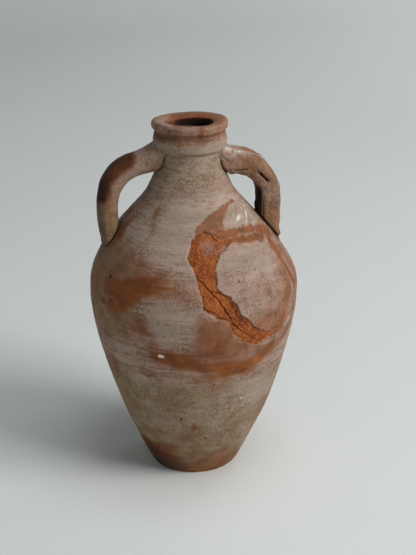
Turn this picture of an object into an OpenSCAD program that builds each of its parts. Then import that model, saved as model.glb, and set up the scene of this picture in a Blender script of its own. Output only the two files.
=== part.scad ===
// Two-handled fired-clay jar, hand thrown in sections and luted together.
// Millimetres, +Z up, origin at the middle of the base's underside.
// The handles lie along X. The mended shoulder is at the front, towards -Y and +X.

/* [Body] */
// Height to the top of the lip; the whole jar follows it
jar_h = 330; // [260:5:420]
// Horizontal thickness of the thrown wall
wall = 8.5; // [6:0.5:10]
// Thickness of the floor slab
floor_h = 10; // [8:1:14]

/* [Neck and mouth] */
// Radius of the straight bore in the neck
mouth_r = 19; // [16:0.5:20]
// Radius of the throat through the lip, a little wider than the bore
throat_r = 19.6; // [19.6:0.2:21]

/* [Handles] */
// Radial thickness and width of the left handle
left_section = [19, 25]; // [15:1:26]
// Radial thickness and width of the right handle
right_section = [21.6, 27]; // [15:1:28]

/* [Mended shoulder] */
// Radius of the round patch
patch_r = 42; // [34:1:43]
// Radius of the outer edge of the raw clay around the patch
clay_r = 51; // [50:1:52]
// How far the raw clay's circle is shifted down and to the left of the patch
clay_shift = [-1, -5]; // [-6:0.5:6]
// Depth of the pocket that the patch and the raw clay fill
pocket_d = 4; // [2:0.5:5]
// How far the patch stands proud of the shoulder
patch_proud = 1; // [0:0.1:1.5]
// How far the raw clay lies under the skin
clay_sunk = 0.6; // [0:0.1:1]

/* [Hidden] */
$fn = 96;

// Heights of the joints between the thrown sections, and of the top of the lip
belly_z = 118;
shoulder_z = 246;
collar_z = 304;
lip_z = 320;
top_z = 330;
k = jar_h / top_z;

// Outer radius and height at round stations up the thrown profile
foot_curve = [[40, 0], [42.6, 4], [46, 11], [50.5, 20], [55, 30]];
belly_curve = [[55, 30], [68, 60], [79, 95], [88, 130], [92.6, 155], [93.8, 175], [91.3, 195]];
shoulder_curve = [[91.3, 195], [82.3, 215], [67, 235], [51.5, 252], [39.5, 266], [32.4, 280]];
neck_curve = [[32.4, 280], [28, 292], [26.6, 304], [26.6, 320]];
profile_keys = concat(foot_curve, skip_first(belly_curve), skip_first(shoulder_curve), skip_first(neck_curve));
steps = 4;

// Outer radius of the applied collar band and of the lip
collar_keys = [[27.6, 304], [30.6, 307], [32.2, 312], [31.4, 316], [30.6, 320]];
lip_round = 3.3;
lip_edge = [29.8, top_z - lip_round];
lip_foot = [[30.6, 320], [31.4, 322]];
throat_round = 2;
throat_edge_z = 325.6;

// Handle bends: middle of the bend, and its radius
left_bend = [42, 262];
left_bend_r = 32;
right_bend = [46, 267.5];
right_bend_r = 24;
bar_start = 12;
leg_end_z = 206;
section_step = 15;

// The line through the patch's middle: turn about Z, height where it leaves the jar's axis, upward tilt
patch_turn = -54;
patch_z = 170;
patch_tilt = 16;
patch_from = 45;
patch_reach = 70;
// The solid form used to trim the pocket starts a little below the joint
trim_margin = 10;

function skip_first(list) = [for (i = [1:len(list) - 1]) list[i]];

// A smooth curve through the keys (Catmull-Rom), as points with `steps` per span
function key(keys, i) = keys[min(max(i, 0), len(keys) - 1)];
function blend_keys(a, b, c, d, t) =
    0.5 * (2 * b + (c - a) * t + (2 * a - 5 * b + 4 * c - d) * t * t + (3 * b - a - 3 * c + d) * t * t * t);
function smooth_curve(keys) =
    concat(
        [for (i = [0:len(keys) - 2]) for (s = [0:steps - 1])
            blend_keys(key(keys, i - 1), key(keys, i), key(keys, i + 1), key(keys, i + 2), s / steps)],
        [keys[len(keys) - 1]]);

profile = smooth_curve(profile_keys);

// Points of a curve between two heights, with the ends cut exactly there
end_gap = 0.5;
function radius_at(z, i = 0) =
    (i >= len(profile) - 2 || profile[i + 1][1] >= z)
        ? lookup(z, [[profile[i][1], profile[i][0]], [profile[i + 1][1], profile[i + 1][0]]])
        : radius_at(z, i + 1);
function between(z0, z1) =
    concat([[radius_at(z0), z0]],
           [for (p = profile) if (p[1] > z0 + end_gap && p[1] < z1 - end_gap) p],
           [[radius_at(z1), z1]]);
function grown(points, by) = [for (p = points) [p[0] + by, p[1]]];
function reversed(list) = [for (i = [len(list) - 1:-1:0]) list[i]];

// The bore goes straight up from just above the height at which the inner wall reaches it
bore_z = max([for (p = profile) if (p[0] - wall > mouth_r) p[1]]);
bore_lead = 2;
function inside(points) =
    let (end_z = points[len(points) - 1][1])
        concat([for (p = points) if (p[1] <= bore_z) [p[0] - wall, p[1]]],
               end_z > bore_z ? [[mouth_r, bore_z + bore_lead], [mouth_r, end_z]] : []);

// Thrown wall between two heights
module wall_ring(z0, z1) {
    outer = between(z0, z1);
    rotate_extrude() polygon(concat(outer, reversed(inside(outer))));
}

// Everything inside the jar's outer face, grown by a set amount, from floor to mouth
module full_form(by = 0, z0 = 0) {
    outer = grown(between(z0, lip_z), by);
    rotate_extrude() polygon(concat([[0, z0]], outer, [[0, lip_z]]));
}

module collar_form() {
    rotate_extrude() polygon(concat([[0, collar_z]], smooth_curve(collar_keys), [[0, lip_z]]));
}

module base_disc() {
    color("sienna") scale(k)
        rotate_extrude() polygon(concat([[0, 0]], between(0, floor_h), [[0, floor_h]]));
}

module lower_body() {
    color("tan") scale(k) wall_ring(floor_h, belly_z);
}

// Round tool along the line through the patch's middle; x is down, y is to the right
module patch_tool(r, shift = [0, 0]) {
    rotate([0, 0, patch_turn]) translate([0, 0, patch_z]) rotate([0, 90 - patch_tilt, 0])
        translate([shift[0], shift[1], patch_from])
            cylinder(r = r, h = patch_reach);
}

module upper_body() {
    color("rosybrown") scale(k) difference() {
        wall_ring(belly_z, shoulder_z);
        difference() {
            patch_tool(clay_r, clay_shift);
            full_form(-pocket_d, belly_z - trim_margin);
        }
    }
}

module neck() {
    color("tan") scale(k) wall_ring(shoulder_z, lip_z);
}

// Band of clay wrapped round the top of the neck
module collar_ring() {
    color("tan") scale(k) rotate_extrude()
        polygon(concat(smooth_curve(collar_keys), [[radius_at(lip_z), lip_z], [radius_at(collar_z), collar_z]]));
}

// Lip turned over on top of the neck, with a wide sloping top
module rim_lip() {
    outer_round = [for (a = [-30:15:90]) lip_edge + lip_round * [cos(a), sin(a)]];
    inner_round = [for (a = [90:30:180])
        [throat_r + throat_round, throat_edge_z] + throat_round * [cos(a), sin(a)]];
    color("peru") scale(k) rotate_extrude()
        polygon(concat([[throat_r, lip_z]], lip_foot, outer_round, inner_round));
}

module section(size) {
    polygon([for (a = [0:section_step:360 - section_step]) [size[0] / 2 * cos(a), size[1] / 2 * sin(a)]]);
}

// Pulled handle on the +X side: a level bar out of the neck, a bend, and a leg down to the shoulder
module pulled_handle(bend, bend_r, size) {
    difference() {
        union() {
            translate([bend[0], 0, bend[1] + bend_r]) rotate([0, -90, 0])
                linear_extrude(bend[0] - bar_start) section(size);
            translate([bend[0], 0, bend[1]]) rotate([90, 0, 0])
                rotate_extrude(angle = 90) translate([bend_r, 0]) section(size);
            translate([bend[0] + bend_r, 0, leg_end_z])
                linear_extrude(bend[1] - leg_end_z) section(size);
        }
        full_form();
        collar_form();
    }
}

module left_handle() {
    color("darkkhaki") scale(k) mirror([1, 0, 0]) pulled_handle(left_bend, left_bend_r, left_section);
}

module right_handle() {
    color("peru") scale(k) pulled_handle(right_bend, right_bend_r, right_section);
}

// Raw clay pressed in round the patch, wide on the left and thin on the right
module repair_clay() {
    color("chocolate") scale(k) intersection() {
        difference() {
            patch_tool(clay_r, clay_shift);
            patch_tool(patch_r);
        }
        difference() {
            full_form(-clay_sunk, belly_z);
            full_form(-pocket_d, belly_z - trim_margin);
        }
    }
}

// Round patch that fills the middle of the mend
module repair_patch() {
    color("thistle") scale(k) intersection() {
        patch_tool(patch_r);
        difference() {
            full_form(patch_proud, belly_z);
            full_form(-pocket_d, belly_z - trim_margin);
        }
    }
}

base_disc();
lower_body();
upper_body();
neck();
collar_ring();
rim_lip();
left_handle();
right_handle();
repair_clay();
repair_patch();
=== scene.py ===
"""Looks of the hand-thrown jar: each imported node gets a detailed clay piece, made in millimetres."""
import math

import bpy
import numpy as np
from mathutils import Matrix, Vector


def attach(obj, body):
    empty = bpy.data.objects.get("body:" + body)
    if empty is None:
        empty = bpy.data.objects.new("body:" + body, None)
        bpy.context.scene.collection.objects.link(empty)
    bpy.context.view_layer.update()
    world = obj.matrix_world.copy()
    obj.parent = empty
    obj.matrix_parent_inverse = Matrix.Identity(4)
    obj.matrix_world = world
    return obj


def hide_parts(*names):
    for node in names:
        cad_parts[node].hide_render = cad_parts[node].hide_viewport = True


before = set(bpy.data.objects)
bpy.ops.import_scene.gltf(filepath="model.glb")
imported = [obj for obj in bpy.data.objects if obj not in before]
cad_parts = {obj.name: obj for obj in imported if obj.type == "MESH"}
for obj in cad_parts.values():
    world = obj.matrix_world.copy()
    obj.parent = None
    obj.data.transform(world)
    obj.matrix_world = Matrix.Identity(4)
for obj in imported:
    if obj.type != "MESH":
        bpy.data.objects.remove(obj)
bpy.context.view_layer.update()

MM = 0.001
BODY = "root"

# ---- the jar's form, as in the CAD
FOOT = [(40, 0), (42.6, 4), (46, 11), (50.5, 20), (55, 30)]
BELLY = [(68, 60), (79, 95), (88, 130), (92.6, 155), (93.8, 175), (91.3, 195)]
SHOULDER = [(82.3, 215), (67, 235), (51.5, 252), (39.5, 266), (32.4, 280)]
NECK = [(28, 292), (26.6, 304), (26.6, 320)]
COLLAR = [(27.4, 304), (29.4, 305), (31.2, 307.2), (32.3, 311.5), (31.8, 316), (30.7, 320)]
LIP = [(30.7, 320), (31.1, 321.4), (32.2, 322.6), (33.1, 324.2), (33.3, 326.6), (32.6, 328.8), (30.4, 330),
       (26.5, 329.5), (23, 328.4), (20.8, 327.2), (19.8, 325.4), (19.6, 323), (19.6, 320)]
WALL = 8.5
FLOOR_TOP = 10
BELLY_JOINT = 118
SHOULDER_JOINT = 246
COLLAR_FOOT = 304
LIP_FOOT = 320
BORE_R = 19
BORE_FOOT = 294
# The jar leans a little: sideways shift of the axis at a few heights
LEAN_Z = [0, 80, 165, 240, 330]
LEAN_X = [1.4, 2.2, 1.9, 0.3, -0.2]

# The mend on the shoulder: turn and tilt of the line through its middle, and where it leaves the axis
MEND_TURN = math.radians(-55.2)
MEND_TILT = math.radians(16)
MEND_Z = 170
MEND_AXIS = np.array([math.cos(MEND_TILT) * math.cos(MEND_TURN),
                      math.cos(MEND_TILT) * math.sin(MEND_TURN),
                      math.sin(MEND_TILT)])
MEND_RIGHT = np.array([-math.sin(MEND_TURN), math.cos(MEND_TURN), 0.0])
MEND_UP = np.cross(MEND_AXIS, MEND_RIGHT)
# Points this far along that line are on the mend's side; depth of its recess and of its pieces' undersides
MEND_SIDE = 30
MEND_RECESS = 3.4
MEND_UNDERSIDE = -3.3
# Edges of the mend's pieces stay sharp above this angle; the seeds fix how they wander
MEND_CRISP = 60
PATCH_SEED = 33
CLAY_SEED = 31
# Edges of the pale patch and of the raw clay round it: direction in degrees (0 is right, 90 up), distance
PATCH_EDGE = [
    (-174, 32), (-155, 31), (-133, 30), (-112, 33), (-90, 36), (-65, 35), (-45, 35), (-20, 37), (5, 39.5),
    (30, 41), (48, 43), (66, 46), (90, 46), (105, 49), (122, 49), (145, 47), (160, 46), (167, 42),
    (172, 36),
]
CLAY_EDGE = [
    (-180, 56.5), (-173, 52), (-166, 49), (-156, 42), (-146, 44), (-128, 45), (-106, 47), (-95, 43),
    (-80, 43), (-60, 45), (-40, 44), (-18, 46), (5, 50), (25, 49), (45, 49), (62, 53), (84, 53), (106, 53),
    (112, 57), (117, 69), (128, 70), (142, 66), (152, 60), (165, 57),
]
# Pores in the patch, painted dark as shade in them: right, up, radius
PATCH_PORES = [
    (-24, 15, 1.0), (20, -14, 0.9), (8, -22, 0.9), (30, 2, 0.8), (-5, 20, 0.7), (14, 30, 0.7), (3, -6, 0.6),
]
# Cracks across the raw clay, in the mend's own flat coordinates (right, up): line, half width, depth
CRACKS = [
    ([(-55, 31), (-52, 22), (-48, 12), (-44, 2), (-39, -9), (-33, -22), (-24, -32), (-13, -40)], 0.55, 1.5),
    ([(-48, 14), (-42, 9), (-37, 4), (-34, -4), (-31, -13), (-24, -22)], 0.4, 1.0),
    ([(-58, 0), (-51, -4), (-45, -12), (-38, -16), (-32, -24)], 0.45, 1.2),
    ([(-47, 10), (-44, 2), (-40, -6), (-37, -14)], 0.35, 0.8),
    ([(-31, 60), (-27, 58), (-25, 51)], 0.55, 1.5), ([(-54, 40), (-51, 36), (-47, 44)], 0.4, 0.9),
    ([(-32, -6), (-28, -14), (-21, -18), (-15, -27)], 0.4, 0.9),
    ([(-20, -42), (-10, -45), (-4, -41), (5, -42), (13, -40)], 0.4, 1.0),
    ([(-26, -26), (-19, -34), (-12, -37)], 0.35, 0.8),
    ([(24, -23), (21, -28), (16, -33), (9, -36), (0, -39), (-8, -41)], 0.45, 1.0),
]
# Bare clay rubbed out above the mend, and its thin stem
WEDGE = [
    (5, 77), (-6, 75), (-15, 73), (-24, 70), (-34, 64), (-40, 57), (-34, 50), (-24, 51), (-16, 57),
    (-11, 64), (-5, 69), (3, 74.5),
]
STEM = [(-9, 73), (0, 76), (7, 77), (13, 78)]
# Brown smudge under the raw clay
SMUDGE = [(-60, -6), (-50, -13), (-38, -19), (-34, -28), (-40, -38), (-53, -35), (-62, -22)]
# Rubbed edge of the mend: over the top, down the right, and the crisp arc at the lower right
ARM = [(-18, 56), (-8, 54), (4, 53), (17, 51), (32, 48), (41, 42)]
UNDER_ARM = [(-24, 49), (-11, 48), (4, 46), (15, 44), (26, 43)]
RIGHT_BAND = [(36, 37), (38, 29), (39, 20), (41, 11), (43, 2), (45, -5)]
RIGHT_LINE = [(46, 3), (47, -9), (43, -22), (36, -32)]
LOWER_ARC = [(24, -24), (21, -29), (17, -34), (11, -38), (2, -41), (-6, -42)]
# Dark crack that runs on past the raw clay's lower edge
TAIL = [(-28, -36), (-21, -45)]
# Thick strokes of lime left by the brush above the mend
STROKES = [
    [(6, 79), (8, 82), (12, 83), (15, 81), (14, 76)], [(9, 75), (10, 70), (9, 65), (15, 62), (21, 59)],
    [(-8, 70), (-5, 67), (-4, 62), (-1, 61)], [(8, 68), (3, 64), (5, 59)], [(16, 71), (23, 66), (30, 58)],
    [(20, 76), (28, 69), (36, 60)],
]


def smooth_curve(keys, steps=16):
    """Catmull-Rom curve through the keys."""
    k = np.array([keys[0], *keys, keys[-1]], float)
    t = np.linspace(0, 1, steps, endpoint=False)[:, None]
    spans = [0.5 * (2 * b + (c - a) * t + (2 * a - 5 * b + 4 * c - d) * t ** 2
                    + (3 * b - a - 3 * c + d) * t ** 3)
             for a, b, c, d in zip(k, k[1:], k[2:], k[3:])]
    return np.concatenate([*spans, k[-2:-1]])


PROFILE = smooth_curve(FOOT + BELLY + SHOULDER + NECK)


def radius_at(z):
    return np.interp(z, PROFILE[:, 1], PROFILE[:, 0])


def slope_at(z):
    return (radius_at(z + 0.5) - radius_at(z - 0.5)).astype(float)


def even_steps(curve, gap):
    """The same curve with points about one gap apart."""
    run = np.concatenate([[0], np.cumsum(np.hypot(*np.diff(curve, axis=0).T[:2]))])
    at = np.linspace(0, run[-1], max(2, int(round(run[-1] / gap)) + 1))
    return np.stack([np.interp(at, run, column) for column in curve.T], axis=1)


# ---- noise and soft steps
def lattice(ix, iy, iz, seed):
    h = (ix * 374761393 + iy * 668265263 + iz * 1440662683 + seed * 974634777) & 0xFFFFFFFF
    h = ((h ^ (h >> 13)) * 1274126177) & 0xFFFFFFFF
    return ((h ^ (h >> 16)) & 0xFFFF) / 65535.0


def noise(p, size, seed=0):
    """Smooth noise from 0 to 1 with lumps of about one size, in the units of p."""
    q = np.asarray(p, float) / size + 1000.0
    i = np.floor(q).astype(np.int64)
    f = q - i
    f = f * f * (3 - 2 * f)
    total = 0.0
    for dx in (0, 1):
        for dy in (0, 1):
            for dz in (0, 1):
                weight = (np.abs(1 - dx - f[..., 0]) * np.abs(1 - dy - f[..., 1])
                          * np.abs(1 - dz - f[..., 2]))
                corner = lattice(i[..., 0] + dx, i[..., 1] + dy, i[..., 2] + dz, seed)
                total = total + weight * corner
    return total


def fractal(p, size, octaves=4, seed=0):
    """Layered noise, centred on 0, mostly within -1 to 1."""
    total, share, full = 0.0, 1.0, 0.0
    for octave in range(octaves):
        total = total + share * (2 * noise(p, size / 2 ** octave, seed + octave) - 1)
        full += share
        share *= 0.55
    return 1.6 * total / full


def streaks(p, size, along=9.0, seed=0):
    """Noise drawn out round the jar, as turning leaves it."""
    return fractal(np.asarray(p) * np.array([1 / along, 1 / along, 1.0]), size, 3, seed)


def smooth(low, high, x):
    t = np.clip((x - low) / (high - low), 0, 1)
    return t * t * (3 - 2 * t)


def bell(x, width):
    return np.exp(-(x / width) ** 2)


def points(*parts):
    return np.stack(parts, axis=-1)


def on_plane(right, up):
    return points(right, up, 0 * right)


def degrees_round(p):
    """Turn round the jar's axis, in degrees: 0 is the right handle, -90 the front."""
    return np.degrees(np.arctan2(p[..., 1], p[..., 0]))


def line_distance(p, line):
    """Distance from points to a run of straight pieces, in 2 or 3 dimensions."""
    best = np.full(p.shape[:-1], 1e9)
    for a, b in zip(np.array(line[:-1], float), np.array(line[1:], float)):
        t = np.clip(((p - a) @ (b - a)) / ((b - a) @ (b - a)), 0, 1)
        best = np.minimum(best, np.linalg.norm(p - a - t[..., None] * (b - a), axis=-1))
    return best


def outline_depth(p, outline):
    """How far points lie inside a closed outline; negative outside."""
    closed = [*outline, outline[0]]
    inside = np.zeros(p.shape[:-1], bool)
    for (ax, ay), (bx, by) in zip(closed[:-1], closed[1:]):
        crosses = (ay > p[..., 1]) != (by > p[..., 1])
        inside ^= crosses & (p[..., 0] < ax + (bx - ax) * (p[..., 1] - ay) / (by - ay + 1e-9))
    return np.where(inside, 1, -1) * line_distance(p, closed)


def round_edge(keys, angle):
    """Distance of a closed edge in each direction, in degrees."""
    a = np.array([k[0] for k in keys], float)
    r = np.array([k[1] for k in keys], float)
    return np.interp(angle, a, r, period=360)


# ---- the wall's relief
def lean(p):
    shifted = np.array(p, float)
    shifted[..., 0] += np.interp(shifted[..., 2], LEAN_Z, LEAN_X)
    return shifted


def wall_points(turn, z, radius=None):
    r = radius_at(z) if radius is None else radius
    return points(r * np.cos(turn), r * np.sin(turn), z + 0 * turn)


def wall_normals(turn, z):
    slope = slope_at(z)
    length = np.sqrt(1 + slope ** 2)
    return points(np.cos(turn) / length, np.sin(turn) / length, -slope / length + 0 * turn)


def mend_place(p):
    """Flat coordinates on the mend, and whether a point is on its side of the jar."""
    d = p - np.array([0, 0, MEND_Z])
    return d @ MEND_RIGHT, d @ MEND_UP, (d @ MEND_AXIS) > MEND_SIDE


def ragged(right, up, seed):
    return 1.1 * fractal(on_plane(right, up), 7, 4, seed)


def mend_depth(right, up, edge, seed):
    """How far inside an edge of the mend a point is, along the ray from the middle."""
    angle = np.degrees(np.arctan2(up, right))
    return round_edge(edge, angle) - np.hypot(right, up) + ragged(right, up, seed)


def stroke_cover(right, up):
    """Where the strokes of lime lie, from 0 to 1."""
    ragged_by = 0.4 * fractal(on_plane(right, up), 3, 2, 35)
    cover = np.zeros_like(right)
    for line in STROKES:
        cover = np.maximum(cover, smooth(1.15, 0.25, line_distance(points(right, up), line) + ragged_by))
    return cover


def turning_relief(p, z):
    """Throwing ridges, stronger on the neck, and the slow waver of a hand-thrown wall."""
    on_neck = smooth(235, 275, z)
    ridges = streaks(p, 3.4, 14, 5) * (0.10 + 0.17 * on_neck)
    fine = streaks(p, 1.5, 20, 8) * 0.06
    waver = fractal(p, 70, 2, 3) * 0.6 + fractal(p, 16, 3, 4) * 0.16
    grains = np.clip(fractal(p, 2.2, 2, 9) - 0.5, 0, 1) * 0.24
    holes = np.clip(fractal(p, 2.8, 2, 10) - 0.6, 0, 1) * 0.3
    return ridges + fine + waver + (grains - holes) + 0.3


def right_flank(p, z):
    """The right side is a little fuller at the belly and flatter at the shoulder."""
    bulge = 1.2 * np.exp(-((p[..., 1] + 30) / 45) ** 2 - ((z - 188) / 13) ** 2)
    hollow = 2.3 * np.exp(-((p[..., 1] + 15) / 40) ** 2 - ((z - 218) / 17) ** 2)
    return (bulge - hollow) * smooth(-5, 45, p[..., 0])


# Small hollows and chips on the wall, painted dark as shade in them: (turn in degrees, height, radius,
# depth)
PITS = [
    (-152, 205, 1.5, 1.3), (-108, 76, 1.3, 1.0), (-90, 51, 1.2, 1.0), (-127, 120, 1.1, 0.8),
    (-87, 115, 1.0, 0.7), (-148, 187, 1.0, 0.8), (-99, 96, 0.9, 0.6), (-75, 84, 1.0, 0.7),
    (-60, 62, 0.9, 0.6), (60, 140, 1.6, 1.1), (110, 190, 1.3, 0.9), (160, 90, 1.4, 0.9), (20, 75, 1.1, 0.8),
    (85, 225, 1.2, 0.8), (140, 150, 1.0, 0.8), (-10, 110, 1.2, 0.8),
]
# Raised lime crusts: (turn, height, half width, half height, thickness)
CRUSTS = [
    (-116, 145.5, 5.2, 2.0, 0.7), (-65, 85, 1.8, 1.0, 0.3), (-67, 94, 1.3, 0.8, 0.25),
    (75, 120, 4.0, 1.6, 0.5),
]
# Scratches: turn and height of both ends
SCRATCH_DEPTH = 0.3
SCRATCHES = [
    ((-116, 301.5), (-84, 301)), ((-108, 299.5), (-76, 300)), ((-102, 303), (-70, 303.2)),
    ((-120, 169.6), (-106, 169)), ((-124, 224), (-103, 225)), ((-122, 226.6), (-104, 227.8)),
    ((-148, 188), (-143, 184)), ((30, 150), (52, 153)), ((120, 200), (141, 203)),
]


def across_wall(deg, z, at_turn):
    """Distance round the wall from a given turn."""
    return np.radians((deg - at_turn + 180) % 360 - 180) * radius_at(z)


def wall_reach(deg, z, at_turn, height, wide=1, tall=1):
    """Distance on the wall from a place, in half widths and half heights of an oval."""
    return np.hypot(across_wall(deg, z, at_turn) / wide, (z - height) / tall)


def marks_relief(deg, z):
    """Pits, crusts and scratches."""
    relief = np.zeros_like(z)
    for at, height, size, depth in PITS:
        relief -= depth * bell(wall_reach(deg, z, at, height), size)
    for at, height, wide, tall, thick in CRUSTS:
        relief += thick * smooth(1.25, 0.7, wall_reach(deg, z, at, height, wide, tall))
    for ends in SCRATCHES:
        middle = (ends[0][0] + ends[1][0]) / 2
        line = [(math.radians(turn - middle) * float(radius_at(height)), height) for turn, height in ends]
        away = line_distance(points(across_wall(deg, z, middle), z), line)
        relief -= SCRATCH_DEPTH * bell(away, 0.6)
    return relief


def outer_skin(turn, z):
    """Displaced points of the jar's outside."""
    p = wall_points(turn, z)
    relief = turning_relief(p, z) + right_flank(p, z) + marks_relief(np.degrees(turn), z)
    right, up, near = mend_place(p)
    inside = mend_depth(right, up, CLAY_EDGE, CLAY_SEED)
    relief -= np.where(near, MEND_RECESS * smooth(-0.5, 1.5, inside), 0)
    rim = bell(inside + 1.4, 1.2) * 0.12 * smooth(10, -30, right)
    relief += np.where(near, rim + 0.4 * stroke_cover(right, up), 0)
    return lean(p + wall_normals(turn, z) * relief[..., None]), p


def inner_skin(turn, z, radius):
    p = wall_points(turn, z, radius)
    ridge = 0.5 * np.sin(z / 2.1 + 2 * fractal(p, 60, 2, 12))
    outward = points(np.cos(turn), np.sin(turn), 0 * turn)
    return lean(p + outward * ridge[..., None]), p


# ---- painting: masks stored on the vertices
MASKS = ("bloom_and_highlight", "iron", "khaki", "raw", "dark", "white")


class Masks(dict):
    """One array for each mask, read and set by name."""

    __getattr__ = dict.__getitem__
    __setattr__ = dict.__setitem__

    @classmethod
    def empty(cls, like):
        return cls((name, np.zeros_like(like)) for name in MASKS)

    def stain(self, name, cover, off_bloom, off_khaki):
        self[name] = self[name] + cover
        self.bloom_and_highlight = self.bloom_and_highlight * (1 - off_bloom * cover)
        self.khaki = self.khaki * (1 - off_khaki * cover)


# Stains on the wall: mask, turn, height, half width, half height, tilt, strength
STAINS = [
    ("iron", -137, 201, 28, 8, 0.2, 1), ("iron", -125, 208, 18, 5, 0.1, 0.8),
    ("iron", -137, 191, 18, 7, 0.3, 0.85), ("iron", -113, 206.5, 10, 1.2, 0, 0.6),
    ("iron", -152, 207, 30, 22, 0, 0.35), ("iron", -140, 184, 16, 10, 0.2, 0.45),
    ("iron", -103, 140, 33, 8.5, -0.12, 1), ("iron", -76, 131, 25, 8.5, -0.05, 0.95),
    ("iron", -110, 144, 17, 7, 0, 0.7), ("iron", -52, 141, 9, 6, 0.7, 0.7),
    ("iron", -88, 158, 17, 14, 0, 0.42), ("iron", -80, 148, 26, 12, 0, 0.25),
    ("iron", -137, 257.5, 3.4, 5, 0, 0.5), ("khaki", -133, 246, 5, 11, 0, 0.6),
    ("khaki", -131, 256, 7, 7, 0, 0.35), ("iron", -167, 235, 7, 9, 0, 0.75),
    ("khaki", -150, 168, 26, 16, 0, 0.7), ("khaki", -152, 214, 34, 10, 0, 0.5),
    ("iron", -128, 122, 7, 3, -0.7, 0.4), ("iron", -118, 50, 26, 18, 0, 0.22),
    ("iron", -84, 113, 16, 7, 0, 0.3), ("iron", -126, 168, 8, 12, -0.5, 0.5),
    ("iron", -120, 156, 6, 12, 0, 0.45), ("iron", -155, 182, 3, 2.6, 0, 0.9),
    ("iron", -140, 30, 34, 12, 0, 0.5), ("iron", -99, 67, 2.4, 5, 0.2, 0.5),
    ("iron", -98, 60, 10, 12, 0, 0.18), ("iron", -60, 26, 16, 14, 0, 0.3), ("iron", -86, 44, 3, 9, 0, 0.3),
    ("iron", -34, 62, 20, 20, 0, 0.3), ("iron", -154, 120, 8, 14, 0, 0.5),
    ("iron", -36, 108, 20, 5, 0.3, 0.3), ("iron", -146, 78, 12, 10, 0, 0.3),
    ("iron", -63, 133, 12, 8, 0.3, 0.6), ("raw", -61, 134, 6, 7, 0.3, 0.6),
    ("raw", -66, 124, 8, 3, 0.5, 0.35), ("raw", -138, 202, 14, 4, 0.1, 0.25),
    ("raw", -112, 141, 16, 3, -0.1, 0.2), ("iron", 55, 200, 30, 12, 0.2, 0.8),
    ("iron", 95, 135, 42, 10, 0.1, 0.85), ("iron", 140, 215, 18, 9, -0.2, 0.7),
    ("iron", 170, 150, 22, 14, 0, 0.55), ("iron", 20, 150, 16, 20, 0, 0.35),
    ("raw", 100, 131, 12, 6, 0, 0.35), ("iron", 70, 35, 30, 14, 0, 0.7), ("iron", 30, 245, 14, 5, 0, 0.5),
    ("iron", 120, 80, 20, 10, 0.1, 0.35),
]
# Where the bloom is thicker or, below 0, rubbed away: turn, height, half width, half height, strength
CLOUDS = [
    (-112, 240, 44, 17, 0.34), (-106, 180, 24, 15, 0.18), (-98, 224, 26, 12, 0.30),
    (-62, 236, 22, 14, 0.20), (-30, 120, 26, 30, 0.2), (-52, 250, 16, 12, 0.3), (-70, 108, 24, 7, 0.3),
    (-52, 94, 18, 12, 0.5), (-105, 98, 20, 14, -0.2), (-84, 62, 8, 16, 0.22), (-117, 160, 12, 14, 0.12),
    (-145, 140, 22, 22, 0.24), (-135, 112, 14, 12, 0.16), (-30, 175, 16, 30, 0.15),
    (-92, 262, 32, 15, 0.40), (-138, 240, 26, 15, 0.34), (-103, 199, 12, 9, -0.35),
    (-142, 212, 36, 16, -0.42), (-160, 185, 30, 26, -0.34), (-137, 168, 18, 14, -0.30),
    (-118, 212, 22, 7, -0.22), (-84, 150, 30, 14, -0.40), (-150, 108, 16, 12, -0.2),
    (-20, 215, 18, 24, -0.2), (75, 175, 34, 22, 0.25), (150, 235, 30, 16, 0.25), (40, 90, 26, 20, 0.2),
    (120, 170, 30, 14, -0.3), (-175, 240, 30, 12, -0.2),
]
# Thin turned lines of iron: height, first turn, last turn
IRON_LINES = [(180.5, -123, -94), (203.5, -100, -84), (176, -112, -96), (151, 60, 110)]


def cloud(deg, z, rough, turn, height, wide, tall, tilt=0, inner=0.25, outer=1.5):
    """Soft oval on the wall with a ragged edge."""
    across = across_wall(deg, z, turn)
    reach = np.hypot(across / wide, (z - height - tilt * across) / tall)
    return smooth(outer, inner, reach + 0.42 * rough)


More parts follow.
